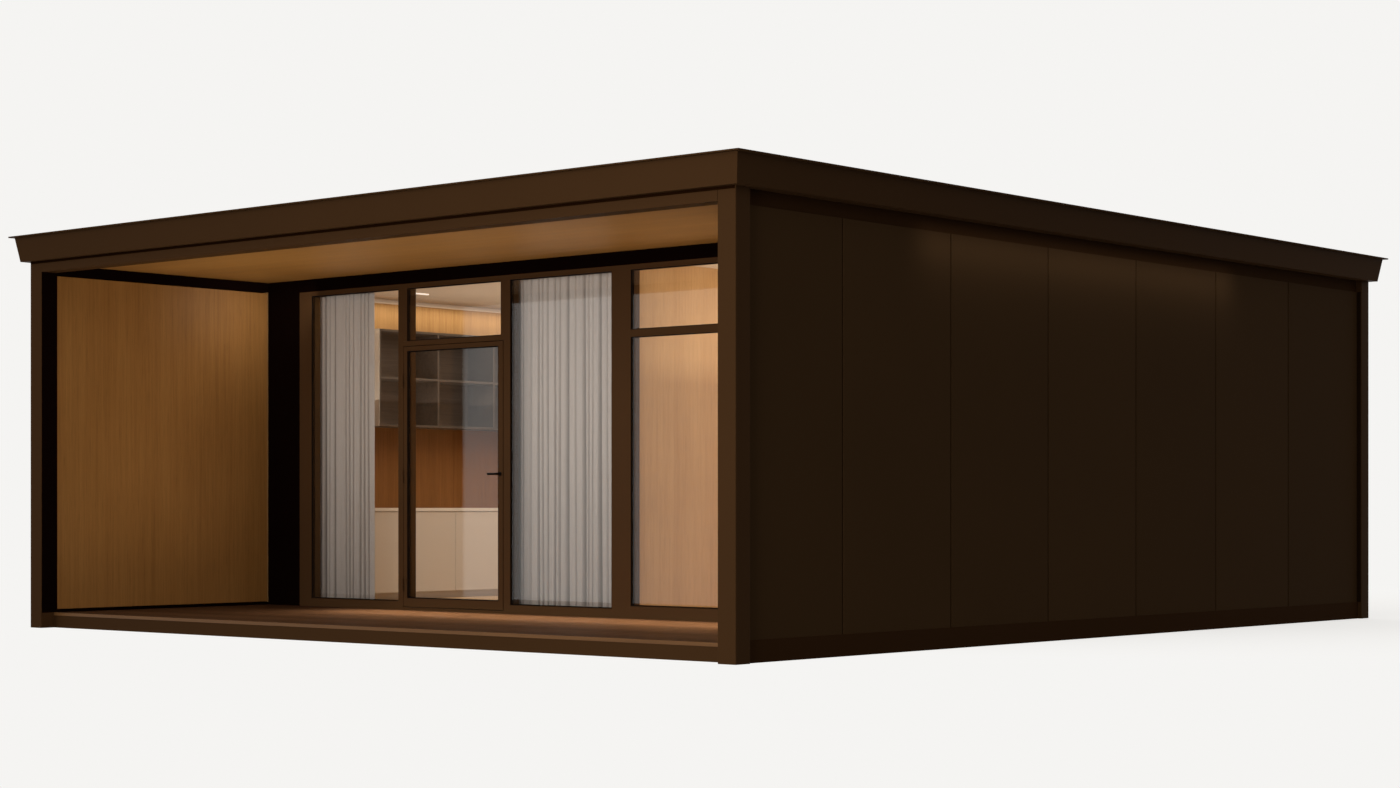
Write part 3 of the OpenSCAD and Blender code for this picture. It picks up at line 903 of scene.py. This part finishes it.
@dataclass
class Door(SubAssembly):
    """Glass door with its gaskets, lever, roses and hinges, and the screws of the hinge flaps."""

    gasket_w: float = 0.008
    gasket_t: float = 0.006
    bite: float = 0.01
    screw_sides: int = 12
    screw_r: float = 0.0042
    screw_t: float = 0.0012
    screw_inset: float = 0.013
    recess_rim: float = 0.55
    recess_depth: float = 0.6
    flap_w: float = 0.034
    flap_t: float = 0.003
    half_h: float = 0.05
    knuckle_r: float = 0.009
    hinge_rise: float = 0.18

    def build(self) -> None:
        """Press the gaskets round the door's pane and drive the hinge screws."""
        low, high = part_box("door_glass")
        inset = Vector((self.bite, 0.0, self.bite))
        rings = Bench.gaskets(low + inset, high - inset, self.gasket_w, self.gasket_t)
        self.gaskets = Bench.join("door_gaskets", rings)
        self.leaf_screws = self.screws("leaf_hinge_screws", "door_hinges", 1.0)
        self.frame_screws = self.screws("frame_hinge_screws", "hinge_pins", -1.0)

    def screws(self, name: str, node: str, side: float) -> Piece:
        """Two flat screws on each of the three flaps of a row of half hinges.

        Args:
            name: Name of the piece.
            node: CAD node of the half hinges.
            side: 1 where the flaps point along +X, and -1 where they point along -X.

        Returns:
            The screws as one piece.
        """
        low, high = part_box(node)
        leaf_low, leaf_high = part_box("door_leaf")
        axis_x = low.x + self.knuckle_r if side > 0 else high.x - self.knuckle_r
        reach = 2 * self.half_h if side < 0 else self.half_h
        middle = low.z + (leaf_high.z - leaf_low.z) / 2 - self.hinge_rise
        x = axis_x + side * (self.flap_w - self.screw_inset)
        rises = (self.screw_inset, self.half_h - self.screw_inset)
        heights = [foot + rise for foot in (low.z, middle, high.z - reach) for rise in rises]
        first = self.screw(x, high.y - self.flap_t, heights[0])
        rest = [Bench.copy(first, (0.0, 0.0, height - heights[0])) for height in heights[1:]]
        return Bench.join(name, [first, *rest])

    def screw(self, x: float, y: float, z: float) -> Piece:
        """One flat screw head that faces the porch, with a dished recess.

        Args:
            x: Place of its axis along the front.
            y: Face of the flap that it sits on.
            z: Height of its axis.

        Returns:
            The screw.
        """
        Bench.clear()
        bpy.ops.mesh.primitive_cylinder_add(
            vertices=self.screw_sides, radius=self.screw_r, depth=self.screw_t,
            location=(x, y - self.screw_t / 2, z), rotation=(math.pi / 2, 0.0, 0.0))
        piece = Bench.named("screw")
        rim = self.screw_r * self.recess_rim
        with Bench.editing(piece):
            Bench.pick_faces(piece, lambda normal: normal.y < -Bench.FACING)
            bpy.ops.mesh.inset(thickness=rim, depth=-self.screw_t * self.recess_depth)
        return piece

    def dress(self) -> None:
        """Coat the leaf and its fittings."""
        self.coat("glazing_frame", "door_leaf", "door_hinges", "hinge_pins")
        self.glaze("door_glass")
        self.coat("black_metal", "door_roses", "door_lever")
        self.settle(self.gaskets, "rubber", "black_metal", Body.DOOR)
        self.settle(self.leaf_screws, "glazing_frame", "black_metal", Body.DOOR)
        self.settle(self.frame_screws, "glazing_frame", "black_metal")


@dataclass
class Curtain(SubAssembly):
    """One gathered curtain in the place of its CAD slab.

    Each pleat is a shallow swell with one groove in it. Drift is the size, rate and phase of two slow
    waves that shift the pleats. Wander moves the groove about in its pleat, loosen widens it towards
    the hem, pinch makes some grooves deeper than others, and sway lets the foot of the cloth hang free.
    """

    node_name: str = "left_curtain"
    pleat: float = 0.070
    columns_per_pleat: int = 20
    rows: int = 26
    thickness: float = 0.0016
    margin: float = 0.002
    groove: float = 0.13
    groove_depth: float = 0.8
    # Strength of the painted shade deep in the folds.
    painted_crease_shade: float = 1.3
    seed: float = 0.0
    smooth_angle: float = 60.0
    drift: tuple[Triple, Triple] = ((0.26, 0.9, 1.0), (0.16, 2.3, 2.0))
    wander: Pair = (0.16, 1.9)
    loosen: Pair = (0.85, 0.4)
    pinch: tuple[float, float, float, float] = (0.74, 0.26, 2.7, 3.0)
    swell: Triple = (0.10, 0.08, 0.4)
    sway: Triple = (0.10, 1.3, 2.1)

    def build(self) -> None:
        """Fold a flat grid into pleats that loosen from the heading to the hem."""
        self.low, self.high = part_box(self.node_name)
        self.count = round((self.high.x - self.low.x) / self.pleat)
        columns = self.count * self.columns_per_pleat
        Bench.clear()
        bpy.ops.mesh.primitive_grid_add(x_subdivisions=columns, y_subdivisions=self.rows, size=2.0)
        self.cloth = Bench.named(self.node_name + "_cloth")
        mesh = self.cloth.data
        depth = mesh.attributes.new(PAINTED_FOLD_SHADE, "FLOAT", "POINT")
        shares = [((v.co.x + 1) / 2, (v.co.y + 1) / 2) for v in mesh.vertices]
        for vertex, mark, (u, v) in zip(mesh.vertices, depth.data, shares):
            vertex.co = self.fold(u, v)
            # Painted shade: store how deep the point lies, for the cloth to be darkened there.
            mark.value = self.painted_crease_shade * (vertex.co.y - self.low.y) / (self.high.y - self.low.y)
        self.flat_width = self.length_across(0.5, columns)
        self.flat_height = self.high.z - self.low.z - 2 * self.margin
        for corner in mesh.uv_layers.active.data:
            corner.uv = (corner.uv[0] * self.flat_width, corner.uv[1] * self.flat_height)
        Bench.take(self.cloth)
        solid = self.cloth.modifiers.new("thickness", "SOLIDIFY")
        solid.thickness = self.thickness
        solid.offset = 0.0
        bpy.ops.object.modifier_apply(modifier=solid.name)
        bpy.ops.object.shade_smooth_by_angle(angle=math.radians(self.smooth_angle))

    def fold(self, u: float, v: float) -> Vector:
        """Place of a point of the cloth.

        Args:
            u: Share of the width, from the left.
            v: Share of the height, from the hem.

        Returns:
            The point as it hangs.
        """
        turn = u * self.count
        turn += sum(size * math.sin(turn * rate + phase * self.seed) for size, rate, phase in self.drift)
        index = math.floor(turn)
        fall = 1.0 - v
        reach, rate = self.wander
        middle = 0.5 + reach * math.sin(index * rate + self.seed)
        spread = self.groove * (self.loosen[0] + self.loosen[1] * fall)
        level, swing, rate, phase = self.pinch
        pinch = level + swing * math.sin(index * rate + self.seed * phase)
        dip = pinch * math.exp(-(((turn - index - middle) / spread) ** 2))
        level, swing, calm = self.swell
        swell = level + swing * math.cos(2 * math.pi * turn) * (calm + (1.0 - calm) * fall)
        reach, rate, twist = self.sway
        hem_fade = min(1.0, u * self.count, (1.0 - u) * self.count)
        sway = reach * self.pleat * math.sin(index * rate + twist * fall) * fall * hem_fade
        deep = min(1.0, swell + self.groove_depth * dip)
        span = self.high - self.low
        x = self.low.x + self.margin + u * (span.x - 2 * self.margin) + sway
        y = self.low.y + self.thickness + (span.y - 2 * self.thickness) * deep
        z = self.low.z + self.margin + v * (span.z - 2 * self.margin)
        return Vector((min(max(x, self.low.x), self.high.x), y, z))

    def length_across(self, v: float, steps: int) -> float:
        """Length of the cloth across its folds at one height."""
        points = [self.fold(i / steps, v) for i in range(steps + 1)]
        return sum((b - a).length for a, b in zip(points, points[1:]))

    def dress(self) -> None:
        """Hang the cloth in the place of its CAD slab, which is hidden."""
        self.settle(self.cloth, "curtain_cloth", "curtain_cloth")
        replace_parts(self.cloth, self.node_name)


@dataclass
class Room(SubAssembly):
    """Indoor walls, floor and ceiling, with the cove strip and a short ceiling light."""

    cove_h: float = 0.034
    cove_t: float = 0.03
    cove_bevel: float = 0.004
    lamp_x: float = -2.73
    lamp_y: Pair = (-1.0, -0.8)
    lamp_w: float = 0.016
    lamp_t: float = 0.012
    lamp_bevel: float = 0.003

    def build(self) -> None:
        """Add the cove strip along the left wall and the light on the ceiling."""
        low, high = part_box("room_ceiling")
        corner = (low.x, low.y, low.z - self.cove_h)
        end = (low.x + self.cove_t, high.y, low.z)
        self.cove = Bench.block("cove_strip", corner, end, self.cove_bevel)
        corner = (self.lamp_x - self.lamp_w / 2, self.lamp_y[0], low.z - self.lamp_t)
        end = (self.lamp_x + self.lamp_w / 2, self.lamp_y[1], low.z)
        self.lamp = Bench.block("ceiling_light", corner, end, self.lamp_bevel, steps=2)

    def dress(self) -> None:
        """Finish the walls, the floor and the ceiling."""
        self.coat("room_wood", "left_room_wall", "right_room_wall", "rear_room_wall")
        self.coat("partition_wood", "partition_wall")
        self.coat("ceiling_paint", "room_ceiling", "curtain_track")
        self.coat("floor_wood", "room_floor")
        self.settle(self.cove, "cove_glow", "ceiling_paint")
        self.settle(self.lamp, "lamp_glow", "ceiling_paint")


@dataclass
class Kitchen(SubAssembly):
    """Cupboards, worktop, splashback and shelves, with pale edgings and a white end panel."""

    edging_t: float = 0.003
    panel_t: float = 0.004
    bevel: float = 0.001
    board_t: float = 0.02
    shelves: int = 3
    uprights: int = 4

    def build(self) -> None:
        """Band the front edges of the shelves and skin their near end."""
        low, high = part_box("shelf_boards")
        rise = (high.z - low.z - self.board_t) / (self.shelves - 1)
        bay = (high.y - low.y - self.board_t) / (self.uprights - 1)
        front = high.x + self.edging_t
        end = (front, high.y, low.z + self.board_t)
        band = Bench.block("band", (high.x, low.y, low.z), end, self.bevel)
        bands = Bench.row(band, (0.0, 0.0, rise), self.shelves)
        corner = (high.x, low.y, low.z + self.board_t)
        post = Bench.block("band", corner, (front, low.y + self.board_t, low.z + rise), self.bevel)
        for upright in Bench.row(post, (0.0, bay, 0.0), self.uprights):
            bands += Bench.row(upright, (0.0, 0.0, rise), self.shelves - 1)
        self.edging = Bench.join("shelf_edging", bands)
        corner = (low.x, low.y - self.panel_t, low.z)
        self.panel = Bench.block("shelf_end_panel", corner, (front, low.y, high.z), self.bevel)

    def dress(self) -> None:
        """Lacquer the cupboards and stain the shelves."""
        self.coat("cupboard", "kitchen_cupboards", "cupboard_fronts")
        self.coat("worktop", "kitchen_worktop")
        self.coat("splash_wood", "kitchen_splashback")
        self.coat("shelf_wood", "shelf_boards", "shelf_uprights", "shelf_back")
        self.settle(self.edging, "shelf_edge", "shelf_wood")
        self.settle(self.panel, "worktop", "worktop")


@dataclass(frozen=True)
class SoftBox:
    """A soft lamp that lights the house and isn't seen itself."""

    name: str
    place: Triple
    target: Triple
    size: Pair
    power: float
    colour: Colour
    spread: float = 180.0

    def light(self) -> None:
        """Put the lamp into the scene."""
        data = bpy.data.lights.new(self.name, "AREA")
        data.shape = "RECTANGLE"
        data.size, data.size_y = self.size
        data.energy = self.power
        data.color = self.colour
        data.spread = math.radians(self.spread)
        lamp = bpy.data.objects.new(self.name, data)
        lamp.location = self.place
        aim = Vector(self.target) - Vector(self.place)
        lamp.rotation_euler = aim.to_track_quat("-Z", "Y").to_euler()
        lamp.visible_camera = False
        lamp.visible_glossy = False
        lamp.visible_transmission = False
        bpy.context.scene.collection.objects.link(lamp)


LAMPS: tuple[SoftBox, ...] = (
    SoftBox("room_lamp", (-1.5, 0.3, 2.78), (-1.5, 0.3, 0.0), (2.6, 3.0), 45.0, (1.0, 0.86, 0.70)),
    SoftBox("room_rise", (-1.75, 0.4, 1.9), (-1.75, 0.4, 2.8), (3.4, 4.0), 23.0, (1.0, 0.87, 0.73)),
    SoftBox("side_room_lamp", (2.5, 0.0, 2.78), (2.5, 0.0, 0.0), (1.4, 3.4), 46.0, (1.0, 0.87, 0.66)),
    SoftBox("side_room_rise", (2.1, 0.2, 1.9), (2.1, 0.2, 2.8), (2.2, 3.6), 42.0, (1.0, 0.90, 0.73)),
    SoftBox("cove_lamp", (-3.36, 1.1, 2.77), (-3.52, 1.1, 2.2), (5.6, 0.03), 11.4, (1.0, 0.86, 0.68)),
    SoftBox("front_fill", (4.4, -11.5, 1.9), (2.5, -4.2, 1.9), (4.0, 2.5), 265.0, (1.0, 0.97, 0.92)),
    SoftBox("porch_front", (0.5, -4.1, 1.7), (-3.5, -3.6, 1.8), (0.8, 1.9), 5.5,
            (1.0, 0.93, 0.80), 75.0),
    SoftBox("porch_wash", (-2.80, -2.3, 2.74), (-3.5, -2.3, 2.48), (0.6, 0.3), 1.7,
            (1.0, 0.96, 0.88), 110.0),
    SoftBox("porch_rise", (-0.5, -3.2, 0.15), (-0.5, -3.2, 2.8), (5.6, 1.5), 23.5,
            (1.0, 0.88, 0.70), 80.0),
    SoftBox("deck_spill", (0.6, -2.14, 0.72), (0.6, -2.50, 0.12), (5.3, 0.05), 76.0,
            (1.0, 0.95, 0.82), 104.0),
    SoftBox("side_wash", (3.88, -0.2, 2.85), (3.61, -0.2, 2.66), (4.2, 0.05), 1.1,
            (1.0, 0.97, 0.92), 85.0),
    SoftBox("rear_fill", (-8.0, 12.0, 3.0), (-1.5, 3.0, 1.6), (4.0, 2.5), 200.0, (1.0, 0.97, 0.92)),
)


@dataclass
class Studio:
    """Pale floor and backdrop, soft lamps and the camera at the photograph's viewpoint."""

    backdrop: Colour = (0.913, 0.905, 0.888)
    sky_colour: Colour = (1.0, 0.98, 0.95)
    ambient: float = 0.33
    bounce: Colour = (0.12, 0.115, 0.11)
    shadow_share: float = 0.80
    shadow_centre: Triple = (2.0, 4.6, 0.0)
    floor_light: float = 0.36
    floor_r: float = 70.0
    floor_sides: int = 96
    floor_drop: float = 0.002
    fade: Pair = (3.0, 7.5)
    sun_power: float = 1.2
    sun_angle: float = 50.0
    sun_colour: Colour = (1.0, 0.96, 0.9)
    sun_from: Triple = (-0.30, -0.95, 0.07)
    image: tuple[int, int] = (1400, 788)
    eye: Triple = (13.357, -15.853, 0.949)
    heading: Triple = (-0.6513, 0.7588, 0.0)
    focal_px: float = 2504.2
    principal: Pair = (704.0, 507.9)
    sensor_mm: float = 36.0
    lamps: tuple[SoftBox, ...] = LAMPS

    def build(self) -> None:
        """Set up the view, the backdrop, the floor, the lamps and the camera."""
        bpy.context.scene.view_settings.view_transform = "Standard"
        self.sky()
        self.floor()
        self.sun()
        for lamp in self.lamps:
            lamp.light()
        self.camera()
        LOG.info("studio: %d lamps", len(self.lamps) + 1)

    @staticmethod
    def seen(board: Palette) -> Socket:
        """Tell the rays that end in the picture from those that only carry light.

        Args:
            board: Node tree to add to.

        Returns:
            1 on rays seen straight, in a reflection or through glass, and 0 on others.
        """
        rays = board.add("LightPath", {}).outputs
        either = board.maths("MAXIMUM", rays["Is Camera Ray"], rays["Is Glossy Ray"])
        return board.maths("MAXIMUM", either, rays["Is Transmission Ray"])

    def sky(self) -> None:
        """A plain soft sky that shows as the pale backdrop."""
        world = bpy.data.worlds.new("studio_sky")
        bpy.context.scene.world = world
        board = Palette(world)
        light = board.tree.nodes["Background"]
        light.inputs["Color"].default_value = tinted(self.sky_colour)
        light.inputs["Strength"].default_value = self.ambient
        view = board.add("Background", {"Color": tinted(self.backdrop), "Strength": 1.0})
        both = board.add("MixShader", {0: self.seen(board), 1: light.outputs[0], 2: view.outputs[0]})
        board.give(board.tree.nodes["World Output"].inputs["Surface"], both.outputs[0])

    def floor(self) -> None:
        """A pale floor that keeps a faint shadow behind the house and fades into the backdrop."""
        Bench.clear()
        bpy.ops.mesh.primitive_circle_add(vertices=self.floor_sides, radius=self.floor_r,
                                          fill_type="NGON", location=(0.0, 0.0, -self.floor_drop))
        floor = Bench.named("studio_floor")
        board = Palette(bpy.data.materials.new("studio_floor"))
        ends = {0: board.coords(), 1: self.shadow_centre}
        far = board.add("VectorMath", ends, operation="DISTANCE").outputs[1]
        share = board.between(far, self.shadow_share, 0.0, *self.fade)
        level = board.maths("SUBTRACT", 1.0, board.maths("MULTIPLY", share, self.floor_light))
        glow = board.add("Emission", {"Color": tinted(self.backdrop), "Strength": level})
        paint = board.mix(share, tinted(self.backdrop, 0.0), tinted(self.backdrop))
        matt = board.add("BsdfDiffuse", {"Color": paint})
        dull = board.add("BsdfDiffuse", {"Color": tinted(self.bounce)})
        pale = board.add("AddShader", {0: glow.outputs[0], 1: matt.outputs[0]})
        both = board.add("MixShader", {0: self.seen(board), 1: dull.outputs[0], 2: pale.outputs[0]})
        board.give(board.tree.nodes["Material Output"].inputs["Surface"], both.outputs[0])
        floor.data.materials.append(board.material)

    def sun(self) -> None:
        """A very soft key light from the front left."""
        data = bpy.data.lights.new("key_light", "SUN")
        data.energy = self.sun_power
        data.angle = math.radians(self.sun_angle)
        data.color = self.sun_colour
        lamp = bpy.data.objects.new("key_light", data)
        lamp.rotation_euler = (-Vector(self.sun_from)).to_track_quat("-Z", "Y").to_euler()
        lamp.visible_glossy = False
        lamp.visible_transmission = False
        bpy.context.scene.collection.objects.link(lamp)

    def camera(self) -> None:
        """A level camera with the photograph's focal length and shift."""
        width, height = self.image
        data = bpy.data.cameras.new("photo_camera")
        data.sensor_width = self.sensor_mm
        data.lens = self.focal_px / width * self.sensor_mm
        data.shift_x = (width / 2 - self.principal[0]) / width
        data.shift_y = (self.principal[1] - height / 2) / width
        camera = bpy.data.objects.new("photo_camera", data)
        camera.location = self.eye
        camera.rotation_euler = Vector(self.heading).to_track_quat("-Z", "Y").to_euler()
        bpy.context.scene.collection.objects.link(camera)
        bpy.context.scene.camera = camera


FINISHES: tuple[Finish, ...] = (
    Coat("bronze_frame", (0.058, 0.0275, 0.0110), shine=0.008),
    Coat("dark_frame", (0.0045, 0.0016, 0.0011), roughness=0.55, shine=0.003),
    Coat("cladding", (0.063, 0.0330, 0.0140), shine=0.003, sheet_pitch=1.2, sheet_start=-3.135),
    # Painted shade: the outer faces of the side beams and rails are a darker copy of the bronze.
    Coat("shaded_side_beam", (0.0045, 0.0016, 0.0011), roughness=0.55, shine=0.003,
         outside=(0.044, 0.0195, 0.0075), outside_x=3.56),
    # Dark joints in the seams, also used for painted shade beside the rear posts.
    Coat("seam_and_shade_strip", (0.019, 0.0090, 0.0032), roughness=0.7, shine=0.003),
    # Painted shadow: the dark line at the foot of the cornice.
    Coat("painted_shadow_strip", (0.014, 0.0048, 0.0012), roughness=0.7, shine=0.003),
    Coat("roof_sheet", (0.10, 0.09, 0.085), roughness=0.6, cloud=0.2, cloud_scale=0.5),
    Coat("glazing_frame", (0.072, 0.0355, 0.0150), roughness=0.4, shine=0.02),
    Coat("black_metal", (0.008, 0.0065, 0.0055), roughness=0.4, shine=0.08),
    Coat("rubber", (0.006, 0.005, 0.005), roughness=0.7, shine=0.04),
    Coat("ceiling_paint", (0.67, 0.56, 0.45), roughness=0.8, cloud=0.03, skin_scale=300.0),
    Coat("cupboard", (0.74, 0.69, 0.63), roughness=0.35, shine=0.4, cloud=0.03, skin_depth=0.0002),
    Coat("worktop", (0.86, 0.82, 0.76), roughness=0.3, shine=0.4, cloud=0.04, cloud_scale=6.0),
    Coat("shelf_edge", (0.10, 0.083, 0.071), roughness=0.5, shine=0.2, cloud_scale=9.0),
    Veneer("lining_wood", (0.215, 0.093, 0.022), (0.315, 0.148, 0.041)),
    Veneer("ceiling_wood", (0.235, 0.107, 0.024), (0.352, 0.173, 0.046), Grain.ALONG_X),
    Veneer("room_wood", (0.34, 0.185, 0.070), (0.52, 0.315, 0.135)),
    Veneer("splash_wood", (0.20, 0.082, 0.020), (0.31, 0.135, 0.042)),
    Veneer("partition_wood", (0.50, 0.296, 0.132), (0.62, 0.391, 0.194)),
    Veneer("edge_wood", (0.12, 0.052, 0.016), (0.18, 0.085, 0.030), Grain.ALONG_X),
    Veneer("shelf_wood", (0.075, 0.058, 0.048), (0.135, 0.108, 0.090), Grain.ALONG_Y),
    Boards("deck_wood", (0.042, 0.0180, 0.0076), (0.078, 0.0365, 0.0172), pitch=0.1447, start=-4.126,
           roughness=(0.47, 0.67), shine=0.05),
    Boards("floor_wood", (0.52, 0.37, 0.23), (0.68, 0.51, 0.34), pitch=0.18, start=-1.85, joint=0.004),
    Cloth("curtain_cloth", (0.57, 0.492, 0.442), height=2.63),
    ClearGlass("glass", (0.98, 0.99, 0.985)),
    Glow("cove_glow", (0.80, 0.66, 0.52), 0.10),
    Glow("lamp_glow", (1.0, 0.92, 0.82), 0.7),
)


def main() -> None:
    """Build and dress every sub-assembly, then set up the studio."""
    logging.basicConfig(level=logging.INFO, format="%(message)s")
    book = {finish.slot: finish.make() for finish in FINISHES}
    assemblies = (
        Shell(book),
        Porch(book),
        Glazing(book),
        Door(book),
        Curtain(book),
        # The middle curtain gets weaker painted fold shade than the left one.
        Curtain(book, node_name="middle_curtain", painted_crease_shade=0.88, seed=1.7),
        Room(book),
        Kitchen(book),
    )
    for assembly in assemblies:
        assembly.build()
        assembly.dress()
    Studio().build()


if __name__ == "__main__":
    main()
